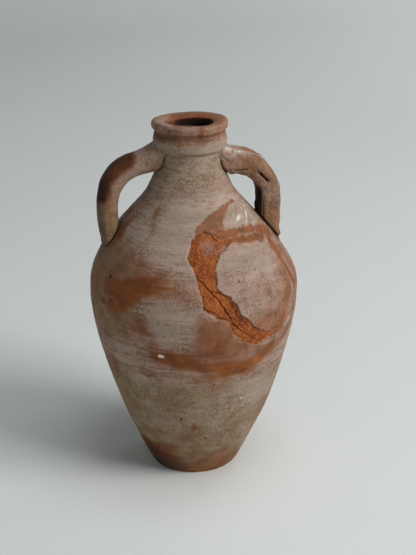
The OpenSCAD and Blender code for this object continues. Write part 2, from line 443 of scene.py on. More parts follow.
def wall_masks(p):
    """Where the lime bloom, the iron stains and the rest lie on the outside, with painted shade on the left
    side and in the pits.
    """
    deg, z = degrees_round(p), p[..., 2]
    large = fractal(p, 48, 3, 22)
    drawn = streaks(p, 5, 10, 23)
    rough = 0.5 * fractal(p, 13, 4, 21) + 0.6 * drawn + 0.3 * streaks(p, 2.2, 14, 26)
    runs = fractal(p * np.array([1, 1, 0.14]), 7, 3, 25)
    m = Masks.empty(z)
    m.bloom_and_highlight = 0.54 + 0.17 * large + 0.07 * drawn + 0.05 * rough + 0.06 * runs * smooth(240, 280, z)
    calm = 0.65 * smooth(262, 284, z)
    m.bloom_and_highlight += calm * (0.47 - m.bloom_and_highlight)
    for *oval, weight in CLOUDS:
        m.bloom_and_highlight += weight * cloud(deg, z, rough, *oval, inner=0.1, outer=1.7)
    m.iron = 0.02 + 0.06 * np.clip(-large, 0, 1) + 0.04 * np.clip(drawn, 0, 1)
    scraped = smooth(124, 108, z + 5 * large)
    m.khaki = 0.85 * scraped * (1 + 0.1 * drawn)
    m.khaki += (0.80 + 0.08 * runs) * smooth(262, 288, z)
    m.bloom_and_highlight -= 0.16 * scraped
    m.iron *= smooth(262, 236, z)
    foot = smooth(32, 4, z + 6 * rough + 7 * large - 10 * smooth(-95, -140, deg))
    m.iron += 0.60 * foot
    m.bloom_and_highlight -= 0.50 * foot
    m.dark += 0.52 * foot * smooth(-80, -130, deg) * smooth(180, 150, -deg)
    # Painted shade: the left side, turned from the light, is made darker and more khaki with less bloom,
    # and darker still low on the left front.
    left = smooth(-118, -150, deg)
    m.khaki += 0.35 * left * (1 - foot)
    m.dark += 0.10 * left + 0.06 * smooth(-100, -130, deg) * smooth(150, 60, z)
    m.bloom_and_highlight -= 0.14 * left
    for name, *oval, strength in STAINS:
        m.stain(name, strength * cloud(deg, z, rough, *oval), 0.8, 0.6)
    # Painted shade: each pit is darkened round its hollow.
    for at, height, size, _ in PITS:
        m.dark += 0.9 * smooth(1.3 * size, 0.5 * size, wall_reach(deg, z, at, height))
    for at, height, wide, tall, _ in CRUSTS:
        reach = wall_reach(deg, z, at, height, wide, tall)
        m.white += 0.85 * smooth(1.35, 0.5, reach + 0.9 * rough)
    for height, start, end in IRON_LINES:
        on_line = bell(z - height - 0.5 * drawn, 0.7) * smooth(start - 4, start + 3, deg)
        m.iron += 0.6 * on_line * smooth(end + 4, end - 3, deg) * smooth(-0.3, 0.3, rough)
    right, up, near = mend_place(p)
    paint_mend(m, right, up, near)
    outside = -mend_depth(right, up, CLAY_EDGE, CLAY_SEED)
    exposed = np.where(near, smooth(0.2, -0.9, outside), 0)
    m.raw += 0.7 * exposed * smooth(10, -20, right)
    m.bloom_and_highlight *= 1 - exposed
    return m


def paint_mend(m, right, up, near):
    """What is rubbed, stained or brushed over the mend, on all three pieces that meet there."""
    plane = on_plane(right, up)
    drift = points(fractal(plane, 9, 3, 36), fractal(plane, 9, 3, 37))
    flat = plane[..., :2] + 1.6 * drift
    grain = fractal(plane, 4, 3, 38)
    slant = fractal(on_plane((right + up) * 0.25, up - right), 4, 3, 39)
    on = near.astype(float)
    soft = smooth(-30, -5, right) * smooth(78, 64, up)
    in_wedge = outline_depth(flat, WEDGE)
    wedge = on * smooth(-0.9 - 3 * soft, 0.7 + 2 * soft, in_wedge + (0.4 + 1.4 * soft) * slant)
    wedge = np.maximum(wedge, on * smooth(1.9, 0.7, line_distance(flat, STEM) + 0.5 * grain))
    smudge = on * smooth(-5, 4, outline_depth(flat, SMUDGE) + 1.2 * grain)
    strand = np.minimum(line_distance(flat, ARM), line_distance(flat, UNDER_ARM) + 0.6)
    arm = on * smooth(5.4, 1.6, strand + 1.2 * grain + 0.9 * slant)
    band = on * smooth(6.0, 1.0, line_distance(flat, RIGHT_BAND) + 1.6 * grain + 1.2 * slant)
    line = on * smooth(2.6, 0.8, line_distance(flat, RIGHT_LINE) + 0.5 * grain)
    arc_width = 1.2 + 2.4 * bell(right - 19, 9)
    arc = on * smooth(1.3, 0.7, line_distance(flat, LOWER_ARC) / arc_width + 0.2 * grain)
    blush = on * smooth(1.5, 0.2, np.hypot((right + 6) / 8, (up + 23) / 7) + 0.4 * grain)
    haze = on * smooth(1.3, 0.2, np.hypot((right - 3) / 24, (up + 30) / 10) + 0.3 * grain)
    ring = smooth(6, 1, np.abs(np.hypot(right, up) - 55) - 1)
    beyond = on * ring * smooth(-5, 12, right) * smooth(36, 20, up)
    tail = on * bell(line_distance(flat, TAIL), 0.8)
    strokes = on * stroke_cover(right, up)
    for cover, keep in ((wedge, 0.08), (smudge, 0.12), (arm, 0.0), (band, 0.0), (line, 0.3), (arc, 0.0),
                        (haze, 0.4), (blush, 0.35), (0.8 * beyond, 0.25), (tail, 0.2)):
        m.bloom_and_highlight *= 1 - (1 - keep) * cover
    for cover in (wedge, arm, band, arc):
        m.iron *= 1 - cover
    m.iron = m.iron + 0.16 * smudge + 0.30 * line + 0.30 * beyond + 0.8 * tail
    m.iron = m.iron + 0.62 * arm + 0.64 * band + 0.05 * wedge + 0.25 * arc
    m.raw = (m.raw + 0.24 * arm + 0.34 * band + 0.1 * line + 0.8 * arc + 0.16 * smudge + 0.12 * wedge
             + 0.3 * blush)
    rim = on * bell(in_wedge - 0.5, 1.4) * smooth(60, 66, up)
    m.raw += 0.25 * rim
    m.bloom_and_highlight += 0.6 * strokes
    brushed = on * smooth(1.5, 0.4, np.hypot((right - 14) / 22, (up - 66) / 15) + 0.3 * slant)
    m.bloom_and_highlight += (0.50 + 0.7 * slant) * brushed * (1 - wedge) * (1 - 0.8 * arm)
    m.white += np.clip(0.22 + 0.6 * slant, 0, 0.75) * brushed * (1 - wedge) * (1 - arm)


def inner_masks(p):
    m = Masks.empty(p[..., 2])
    m.iron += 0.8 + 0.2 * fractal(p, 20, 3, 24)
    # Painted shade inside the jar, deepest in the neck below the lip.
    m.dark += 0.35 + 0.45 * smooth(322, 306, p[..., 2]) * smooth(240, 280, p[..., 2])
    return m


# ---- meshes
def add_object(name, data):
    added = bpy.data.objects.new(name, data)
    bpy.context.scene.collection.objects.link(added)
    return added


def closed_mesh(name, rows, masks, band, crisp=50):
    """Grid of rows, closed round its columns; a band also joins its last row to its first."""
    n, m = rows.shape[:2]
    index = np.arange(n * m).reshape(n, m)
    upper = np.roll(index, -1, axis=0) if band else index[1:]
    lower = index if band else index[:-1]
    quads = np.stack([lower, np.roll(lower, -1, 1), np.roll(upper, -1, 1), upper], -1).reshape(-1, 4)
    verts = rows.reshape(-1, 3)
    values = {k: v.reshape(-1) for k, v in masks.items()}
    faces = quads.tolist()
    if not band:
        for row, tip in ((index[0], n * m), (index[-1], n * m + 1)):
            step = np.roll(row, -1)
            order = (step, row) if tip == n * m else (row, step)
            faces += np.stack([*order, np.full(m, tip)], -1).tolist()
        verts = np.concatenate([verts, rows[0].mean(0)[None], rows[-1].mean(0)[None]])
        values = {k: np.concatenate([v, [v[:m].mean(), v[-m:].mean()]]) for k, v in values.items()}
    a, b, c, d = (verts[quads[:, i]] for i in range(4))
    if np.einsum("ij,ij->", np.cross(c - a, d - b), (a + b + c + d) / 4 - verts.mean(0)) < 0:
        faces = [face[::-1] for face in faces]
    mesh = bpy.data.meshes.new(name)
    mesh.from_pydata((verts * MM).tolist(), [], faces)
    for mask, value in values.items():
        layer = mesh.attributes.new(mask, "FLOAT", "POINT")
        layer.data.foreach_set("value", np.clip(value, 0, 1).astype(np.float32))
    mesh.shade_smooth()
    mesh.set_sharp_from_angle(angle=math.radians(crisp))
    mesh.validate()
    return add_object(name, mesh)


def place(piece, node, material):
    piece.data.materials.append(material)
    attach(piece, BODY)
    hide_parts(node)


def even_turns(count):
    return np.linspace(-math.pi, math.pi, count, endpoint=False)


def join_masks(parts):
    return {name: np.concatenate([part[name] for part in parts]) for name in MASKS}


def wall_piece(name, z0, z1, columns, gap):
    """A thrown section: detailed outside, turned inside, flat joints above and below."""
    turns = even_turns(columns)[None, :]
    outside = even_steps(PROFILE[(PROFILE[:, 1] > z0) & (PROFILE[:, 1] < z1)], gap)[:, 1]
    z_out = np.concatenate([[z0], outside[1:-1], [z1]])[:, None]
    z_in = np.linspace(z1, z0, max(8, int((z1 - z0) / 9)))[:, None]
    outer, outer_base = outer_skin(*np.broadcast_arrays(turns, z_out))
    inner, inner_base = inner_skin(*np.broadcast_arrays(turns, z_in, thin_wall(z_in)))
    rows = np.concatenate([outer, inner])
    return closed_mesh(name, rows, join_masks([wall_masks(outer_base), inner_masks(inner_base)]), True)


def thin_wall(z):
    return np.where(z >= BORE_FOOT, BORE_R, np.maximum(radius_at(z) - WALL, BORE_R))


def base_piece():
    """Slab with a rounded, chipped edge and the shallow spiral that the cutting wire leaves below."""
    turns = even_turns(480)[None, :]
    r_under = np.linspace(1.5, 39.4, 46)[:, None]
    spiral = 0.22 * np.sin(r_under * 1.9 + turns) + 0.5 * smooth(39, 24, r_under)
    under = wall_points(turns, spiral, r_under)
    z_out = np.linspace(0.5, FLOOR_TOP, 15)[:, None]
    outer, outer_base = outer_skin(*np.broadcast_arrays(turns, z_out))
    chips = np.clip(fractal(outer_base, 6, 3, 41) - 0.35, 0, 1) * 1.6 * smooth(4, 0.5, z_out)
    outer -= wall_normals(turns, z_out) * chips[..., None]
    r_top = np.linspace(float(radius_at(FLOOR_TOP)) - 0.4, 1.5, 14)[:, None]
    top = wall_points(turns, FLOOR_TOP + 0 * r_top, r_top)
    masks = join_masks([inner_masks(under), wall_masks(outer_base), inner_masks(top)])
    return closed_mesh("base_slab", np.concatenate([lean(under), outer, lean(top)]), masks, False)


def hand_warp(p):
    """The lip and the collar are pressed a little out of true."""
    turn, z = np.arctan2(p[..., 1], p[..., 0]), p[..., 2]
    hold = smooth(306, 328, z)
    warped = np.array(p)
    warped[..., 2] += hold * (0.5 * np.sin(2 * turn + 0.6) + 0.45 * np.sin(turn + 2.6) - 0.1)
    swell = 1 + hold * (0.007 * np.sin(3 * turn + 1.0) + 0.006 * np.sin(5 * turn))
    warped[..., :2] *= swell[..., None]
    return warped


def turned_piece(name, section, columns, seed, relief_size, masks_of, inner_from):
    """A band turned from a closed section; rows from inner_from on are its hidden inside."""
    turns = even_turns(columns)[None, :]
    r, z = section[:, 0][:, None], section[:, 1][:, None]
    p = wall_points(turns, z, r)
    out = np.gradient(section, axis=0)
    out = points(out[:, 1], -out[:, 0]) / np.maximum(np.hypot(*out.T), 1e-6)[:, None]
    normal = wall_points(turns, out[:, 1:], out[:, :1])
    relief = streaks(p, 2.6, 12, seed) * 0.14 + fractal(p, 9, 3, seed + 1) * 0.2
    relief += fractal(p, 2.4, 2, seed + 2) * 0.07
    relief *= relief_size * (np.arange(len(section)) < inner_from)[:, None]
    return closed_mesh(name, lean(hand_warp(p + normal * relief[..., None])), masks_of(p), True)


def collar_masks(p):
    m = wall_masks(p)
    deg, z = degrees_round(p), p[..., 2]
    rough = fractal(p, 7, 3, 53)
    groove = smooth(309, 319, z + 0.3 * rough)
    m.iron = 0.18 * groove
    lit = 0.7 * smooth(-70, -40, deg) * smooth(60, 20, deg)
    # Painted shade in the groove under the lip, less on the lit right front; the groove itself is browner
    # in its own colour.
    m.dark += 0.40 * smooth(312, 319, z) * (1 - lit)
    m.khaki = 0.45 + 0.1 * rough + 0.45 * smooth(308, 305, z) + 0.1 * groove
    m.bloom_and_highlight = 0.58 + 0.05 * rough - 0.34 * groove + 0.22 * bell(z - 309.5, 3)
    m.bloom_and_highlight -= 0.4 * smooth(306.4, 304.8, z + 0.5 * rough)
    # Painted highlight: the collar's right front, turned to the light, is made paler with bloom and whiter.
    m.bloom_and_highlight += 0.42 * smooth(-95, -60, deg) * smooth(60, 20, deg) * (1 - groove)
    m.white += (0.30 * smooth(-80, -50, deg) * smooth(60, 20, deg) * (1 - groove)
                * smooth(-0.4, 0.5, rough))
    m.iron += 0.4 * smooth(307, 304.5, z) * smooth(-120, -70, deg) * smooth(0, -50, deg)
    drip = np.abs(np.radians(deg + 80) * 31 + 1.5 * rough)
    m.iron += 0.35 * smooth(5, 1, drip) * smooth(309, 314, z)
    return m


def lip_masks(p):
    deg, z = degrees_round(p), p[..., 2]
    radius = np.hypot(p[..., 0], p[..., 1])
    rough, large = fractal(p, 7, 4, 51), fractal(p, 20, 3, 52)
    m = Masks.empty(z)
    m.bloom_and_highlight = 0.30 + 0.18 * rough + 0.14 * large
    m.raw = 0.12 + 0.1 * rough
    m.iron = 0.10 - 0.12 * large
    # The lip's top on the left is paler with bloom, and this is also a painted highlight where it faces the
    # light; the pale ring along the outer crest is a painted highlight.
    left = smooth(-80, -160, deg) * (deg < 0) + smooth(150, 178, deg)
    m.bloom_and_highlight += 0.36 * left * smooth(21, 24, radius) * smooth(33, 31, radius)
    m.bloom_and_highlight += 0.16 * bell(radius - 33, 1.2)
    right = smooth(-70, -20, deg) * smooth(70, 30, deg)
    m.raw += 0.26 * right
    m.bloom_and_highlight += 0.14 * right
    # Under the lip's roll: a brown stain, and painted shade where the roll overhangs.
    under = smooth(325, 321, z) * smooth(29, 31, radius)
    m.iron += 0.55 * under
    m.dark += 0.25 * under
    throat = smooth(21.2, 20, radius)
    back = smooth(20, 60, deg) * smooth(150, 110, deg)
    throat = np.maximum(throat, back * smooth(28, 24, radius))
    m.raw += 0.25 * throat
    m.iron += 0.55 * throat
    m.bloom_and_highlight *= 1 - 0.92 * throat
    # Painted shade in the mouth: the throat goes nearly black, less so on the left where light reaches in,
    # and the left is also darkened a little just inside the lip.
    lit_left = smooth(95, 140, deg) + smooth(-90, -135, deg)
    m.dark += (0.98 - 0.5 * lit_left) * smooth(21.0, 19.9, radius)
    m.dark = np.maximum(m.dark, 0.35 * lit_left * smooth(24.5, 21.5, radius))
    drip = smooth(3.4, 0.6, np.abs(np.radians(deg + 80) * radius + 1.6 * rough))
    drip *= smooth(27, 30, radius)
    m.iron += 0.45 * drip
    m.bloom_and_highlight *= 1 - 0.8 * drip
    spots = smooth(2.0, 0.8, np.hypot(np.radians(deg + 128) * radius, z - 325.5))
    m.dark += 0.4 * spots
    return m


def collar_piece():
    outside = even_steps(smooth_curve(COLLAR), 0.55)
    inside = np.array([(26.6, LIP_FOOT), (26.6, 312.0), (26.6, COLLAR_FOOT)])
    section = np.concatenate([outside, inside])
    return turned_piece("neck_band", section, columns=440, seed=61, relief_size=1.0, masks_of=collar_masks,
                        inner_from=len(outside))


def lip_piece():
    outside = even_steps(smooth_curve(LIP), 0.5)
    inside = np.array([(23.0, 320.0), (27.0, 320.0)])
    section = np.concatenate([outside, inside])
    return turned_piece("wide_lip", section, columns=480, seed=71, relief_size=1.1, masks_of=lip_masks,
                        inner_from=len(outside) - 3)


# ---- the mend
def project_to_wall(right, up):
    """Points of the plain wall under the mend's flat coordinates, and the wall's normals there."""
    base = np.array([0, 0, MEND_Z]) + right[..., None] * MEND_RIGHT + up[..., None] * MEND_UP
    low, high = np.full(right.shape, 20.0), np.full(right.shape, 135.0)
    for _ in range(30):
        middle = (low + high) / 2
        p = base + middle[..., None] * MEND_AXIS
        out = np.hypot(p[..., 0], p[..., 1]) > radius_at(p[..., 2])
        low, high = np.where(out, low, middle), np.where(out, middle, high)
    p = base + low[..., None] * MEND_AXIS
    return p, wall_normals(np.arctan2(p[..., 1], p[..., 0]), p[..., 2])


def mend_surface(right, up, height):
    """Displaced points that follow the wall's own relief, and the plain points under them."""
    p, normal = project_to_wall(right, up)
    relief = height + turning_relief(p, p[..., 2]) * 0.8 + right_flank(p, p[..., 2])
    return lean(p + normal * relief[..., None]), p


def crack_relief(right, up):
    """Grooves of the cracks, and how dark each point of them is painted as shade in the grooves."""
    at = on_plane(right, up)
    flat = points(right, up) + points(fractal(at, 6, 3, 81), fractal(at, 6, 3, 82)) * 0.9
    relief, dark = np.zeros_like(right), np.zeros_like(right)
    for line, width, depth in CRACKS:
        near = bell(line_distance(flat, line), width)
        relief -= 0.8 * depth * near
        dark = np.maximum(dark, near)
    return relief, dark


def ray_grid(inner, outer, rows, columns, spread=1.0):
    """Flat coordinates between two distances, in every direction."""
    angle = even_turns(columns)[None, :]
    share = np.linspace(0, 1, rows)[:, None] ** spread
    distance = inner(angle) + share * (outer(angle) - inner(angle))
    return distance * np.cos(angle), distance * np.sin(angle), share + 0 * angle


def torn_reach(edge, angle, seed):
    reach = round_edge(edge, np.degrees(angle))
    return reach + ragged(reach * np.cos(angle), reach * np.sin(angle), seed)


def patch_reach(angle):
    return torn_reach(PATCH_EDGE, angle, PATCH_SEED)


def clay_reach(angle):
    return torn_reach(CLAY_EDGE, angle, CLAY_SEED)


def under_patch(angle):
    """Inner edge of the raw clay, tucked a little under the patch."""
    return patch_reach(angle) - 1.6


def patch_middle(angle):
    return 0.6 + 0 * angle


def mend_piece(name, top, m, floor, band):
    """Closes a piece of the mend with a plain underside over the flat coordinates of its floor."""
    right, up, _ = floor
    under, under_base = mend_surface(right, up, MEND_UNDERSIDE + 0 * right)
    masks = join_masks([m, inner_masks(under_base)])
    return closed_mesh(name, np.concatenate([top, under]), masks, band, MEND_CRISP)


def patch_piece():
    """Pale round patch: a low dome with a torn, slightly lifted edge."""
    columns = 420
    right, up, share = ray_grid(patch_middle, patch_reach, 110, columns, spread=0.9)
    flat = on_plane(right, up)
    distance_in = patch_reach(np.arctan2(up, right)) - np.hypot(right, up)
    dome = 0.35 + 0.9 * (1 - share ** 2)
    dome = dome + fractal(flat, 18, 3, 91) * 0.3 + fractal(flat, 3, 3, 92) * 0.09
    edge_hold = smooth(24, -6, up) * smooth(34, 10, right)
    height = dome + 0.35 * edge_hold * bell(distance_in - 1.5, 1.2)
    height -= (1.1 * edge_hold + 0.7) * smooth(1.0, 0.0, distance_in)
    dark = np.zeros_like(right)
    for x, y, size in PATCH_PORES:
        reach = np.hypot(right - x, up - y)
        height -= 0.9 * bell(reach, size)
        dark += smooth(1.3 * size, 0.4 * size, reach)
    top, base = mend_surface(right, up, height)
    m = wall_masks(base)
    rough, large = fractal(base, 9, 4, 93), fractal(base, 26, 3, 94)
    m.raw = 0.5 * smooth(1.2, 0.0, distance_in + 0.5 * rough) * (0.2 + 0.8 * smooth(20, -10, right))
    m.bloom_and_highlight = 0.66 + 0.16 * large + 0.13 * rough - 0.26 * smooth(-2, -34, up - 0.35 * right)
    m.bloom_and_highlight += 0.22 * smooth(-4, 26, up) - 0.34 * smooth(8, 34, right) - 0.08
    m.bloom_and_highlight -= 0.35 * smooth(2.5, 0, distance_in) * smooth(0.2, 0.6, noise(flat, 5, 95))
    m.iron = 0.05 + 0.08 * rough
    # The pores are painted dark as shade.
    m.khaki, m.white, m.dark = 0.1 + 0 * dark, 0 * dark, 0.8 * dark
    paint_mend(m, right, up, np.ones_like(right, bool))
    return mend_piece("shoulder_patch", top, m, ray_grid(patch_reach, patch_middle, 8, columns), False)


def clay_piece():
    """Raw orange clay round the patch: torn, laminated and cracked on the left, thin on the right."""
    columns = 1000
    right, up, share = ray_grid(under_patch, lambda angle: clay_reach(angle) + 0.5, 78, columns)
    flat = on_plane(right, up)
    side = smooth(8, -22, right + 0.25 * up)
    layered = on_plane((right + up) * 0.3, up - right)
    layers = np.abs(fractal(layered, 7, 3, 101))
    torn = fractal(flat, 7, 4, 102) * 0.6 + fractal(flat, 1.8, 3, 103) * 0.34 - layers * 0.55
    split = np.abs(fractal(layered, 9, 4, 107))
    flakes = smooth(0.09, 0.0, split) * side * smooth(26, 4, up)
    torn -= 0.7 * flakes
    cracks, dark = crack_relief(right, up)
    height = -0.5 + side * (torn - 0.1) + (1 - side) * (0.35 + fractal(flat, 4, 3, 104) * 0.15) + cracks
    edge = np.minimum(share, 1 - share)
    height -= 0.9 * side * smooth(0.09, 0.02, edge) * smooth(30, 8, up)
    top, base = mend_surface(right, up, height)
    rough, large = fractal(flat, 6, 4, 105), fractal(flat, 14, 3, 106)
    m = wall_masks(base)
    m.bloom_and_highlight = 0.62 + 0.2 * rough - 0.3 * smooth(0, -30, up)
    m.raw, m.iron = 0 * right, 0.05 + 0.05 * rough
    paint_mend(m, right, up, np.ones_like(right, bool))
    pale = smooth(1.4, 0.3, np.hypot((right + 35) / 7, (up - 49) / 8) + 0.5 * rough)
    inner = smooth(0.55, 0.0, share) * smooth(-0.45, 0.35, rough) * smooth(-6, 20, up)
    covered = np.clip(0.62 * pale + 0.62 * inner, 0, 0.8)
    m.raw = m.raw * (1 - side) + side * (1 - 0.75 * covered)
    m.bloom_and_highlight = m.bloom_and_highlight * (1 - side) + side * covered
    m.iron = m.iron * (1 - side) + side * np.clip(0.05 + 0.25 * large, 0, 1) * (1 - covered)
    deep = smooth(-1.3, -2.2, height) * side
    m.iron += 0.50 * side * smooth(22, -6, up)
    m.bloom_and_highlight += 0.16 * side * smooth(16, 30, up) * smooth(-0.4, 0.4, rough)
    # Painted shade: the cracks, the deepest hollows, the splits between the flakes and a thin line along
    # the torn edges are darkened.
    broken_up = 0.55 + 0.45 * smooth(-0.3, 0.3, fractal(flat, 5, 2, 108))
    m.dark = np.maximum(0.72 * smooth(0.5, 1.0, dark) * broken_up, 0.3 * deep)
    m.dark = np.maximum(m.dark, 0.4 * smooth(0.4, 1, flakes))
    m.dark = np.maximum(m.dark, 0.35 * side * smooth(0.04, 0.0, edge) * smooth(-0.2, 0.3, rough))
    return mend_piece("torn_clay", top, m, ray_grid(clay_reach, under_patch, 5, columns), True)


# ---- handles
# Middle line and section of each handle: (outward, height, half thickness, half width)
LEFT_STRAND = [
    (20, 299, 15, 14), (27, 298, 14, 14.5), (33, 296.6, 12, 14), (40, 294.8, 10.4, 13.2),
    (47.5, 292.6, 10, 12.6), (55.5, 289.6, 10.2, 12.4), (63.2, 284, 10.3, 12.3), (69.6, 275.2, 10, 12.3),
    (73, 265, 9.5, 12.4), (74.2, 255, 9.3, 12.5), (74.2, 245.5, 9.2, 12.7), (73.5, 236.5, 9.2, 13.2),
    (72.2, 227.5, 9.4, 14.4), (70.2, 218.5, 10.6, 16.5), (67, 209.5, 12, 17.5),
]
RIGHT_STRAND = [
    (19, 294.5, 15, 15), (27, 293.6, 13.6, 15.2), (34, 292.4, 12.0, 14.4), (42, 291.6, 11.5, 13.8),
    (50, 289.4, 11.1, 13.6), (57.6, 285, 10.4, 13.4), (63.8, 278, 9.8, 13.2), (68, 270, 9.9, 13.2),
    (69.8, 261, 10.4, 13.3), (69.7, 251, 10.7, 13.4), (69.2, 241, 10.8, 13.4), (69, 231, 10.9, 13.6),
    (68.6, 221, 11.6, 14.4), (66, 211, 12.5, 15),
]
# Middle of the red band over the left handle's bend: outward, height
RED_BEND = [(57, 299), (68, 293), (77, 283), (81, 271), (83, 263)]


def off_wall(p):
    """Distance of a point from the plain outer wall."""
    return (np.hypot(p[..., 0], p[..., 1]) - radius_at(p[..., 2])) / np.sqrt(1 + slope_at(p[..., 2]) ** 2)


def luting(p, low_z):
    """How deep in the crease where a strand meets the jar: all round the foot, and under the root."""
    on_foot = smooth(242, 234, p[..., 2])
    gap = bell(off_wall(p) - 0.8, 1.0 + 0.5 * (1 - on_foot))
    return gap * np.maximum(on_foot, smooth(low_z + 8, low_z, p[..., 2]))


def swept_form(line, side, rows, columns, square):
    """Points round a flattened strand, with outward normals and the share of the way down it."""
    path = even_steps(smooth_curve(line, 24), 0.1)
    path = path[np.linspace(0, len(path) - 1, rows).astype(int)]
    ahead = np.gradient(path[:, :2], axis=0)
    ahead /= np.hypot(*ahead.T)[:, None]
    outward = points(-ahead[:, 1], ahead[:, 0])
    a = even_turns(columns)[None, :]
    flat_a = np.sign(np.cos(a)) * np.abs(np.cos(a)) ** (2 / square)
    flat_b = np.sign(np.sin(a)) * np.abs(np.sin(a)) ** (2 / square)
    thick, wide = path[:, 2:3] * flat_a, path[:, 3:4] * flat_b
    x = path[:, 0:1] + outward[:, 0:1] * thick
    z = path[:, 1:2] + outward[:, 1:2] * thick
    p = points(side * x, wide, z)
    n_thick, n_wide = np.cos(a) / path[:, 2:3], np.sin(a) / path[:, 3:4]
    normal = points(side * outward[:, 0:1] * n_thick, n_wide, outward[:, 1:2] * n_thick)
    normal /= np.linalg.norm(normal, axis=-1)[..., None]
    return p, normal, np.linspace(0, 1, rows)[:, None] + 0 * a


def strand_grooves(p, share, seed, depth):
    """Lengthwise marks of the fingers that pulled the strand."""
    drawn = points(p[..., 1], share * 3, np.hypot(p[..., 0], p[..., 2] - 262))
    return fractal(drawn, 4.5, 3, seed) * depth


def left_handle_piece():
    p, normal, share = swept_form(LEFT_STRAND, side=-1, rows=320, columns=200, square=2.5)
    x, y, z = -p[..., 0], p[..., 1], p[..., 2]
    relief = fractal(p, 15, 3, 111) * 0.4 + fractal(p, 4, 3, 112) * 0.12
    relief += strand_grooves(p, share, 113, 0.16)
    crease = luting(p, 297)
    relief -= 1.9 * crease
    skin = lean(p + normal * relief[..., None])
    rough, large = fractal(p, 9, 4, 114), fractal(p, 30, 2, 115)
    m = Masks.empty(share)
    bend = line_distance(points(x, z), RED_BEND)
    red = smooth(12, 4, bend + 1.6 * rough + 3.0 * smooth(-6, 12, y)) * smooth(257, 265, z + rough)
    root = smooth(42, 34, x) * smooth(300, 292, z)
    m.bloom_and_highlight = 0.50 + 0.14 * large + 0.12 * rough - 0.42 * smooth(278, 245, z)
    m.bloom_and_highlight *= (1 - 0.97 * red) * (1 - 0.5 * root)
    m.iron = 0.06 + 0.10 * rough + 1.0 * red + 0.3 * root
    m.khaki = (0.5 + 0.2 * smooth(262, 238, z)) * (1 - red)
    m.raw = 0.18 * smooth(0.3, 0.9, red) * smooth(298, 290, z) * smooth(270, 284, z)
    burnt = 0.2 * smooth(0.4, 1, red) * smooth(290, 270, z) * smooth(4, -6, y)
    # The red band is dark in its own colour; painted shade darkens the creases at the roots and the leg's
    # outer side, turned from the light.
    m.dark = 0.12 + 0.48 * red + burnt + 0.95 * smooth(0.2, 0.7, crease)
    m.dark = np.maximum(m.dark, 0.42 * smooth(-0.2, 0.7, -normal[..., 0]) * smooth(276, 262, z))
    return closed_mesh("left_strand", skin, m, False, 70)


# Slots in the right handle, painted dark as shade in them: ends, half width, depth
RIGHT_SLOTS = [
    ([(57.5, -13, 284), (61, -13, 280.5)], 0.8, 2.4), ([(60, -13, 281.5), (66.5, -13, 275)], 1.2, 4.0),
    ([(56, -13, 287), (59, -13, 285)], 0.5, 1.0),
    ([(37.5, -13, 286.2), (42, -13, 285.4), (48, -13, 285.8)], 0.7, 2.4),
    ([(50, -12, 281.5), (56, -12.5, 277.5)], 0.5, 1.0),
    ([(63, -12.5, 262), (62.5, -12.5, 250), (63.5, -12.5, 240)], 0.7, 0.9),
    ([(73, -12, 268), (74.5, -12, 255)], 0.6, 0.7), ([(36, 12, 296), (47, 13, 294)], 0.6, 1.4),
]


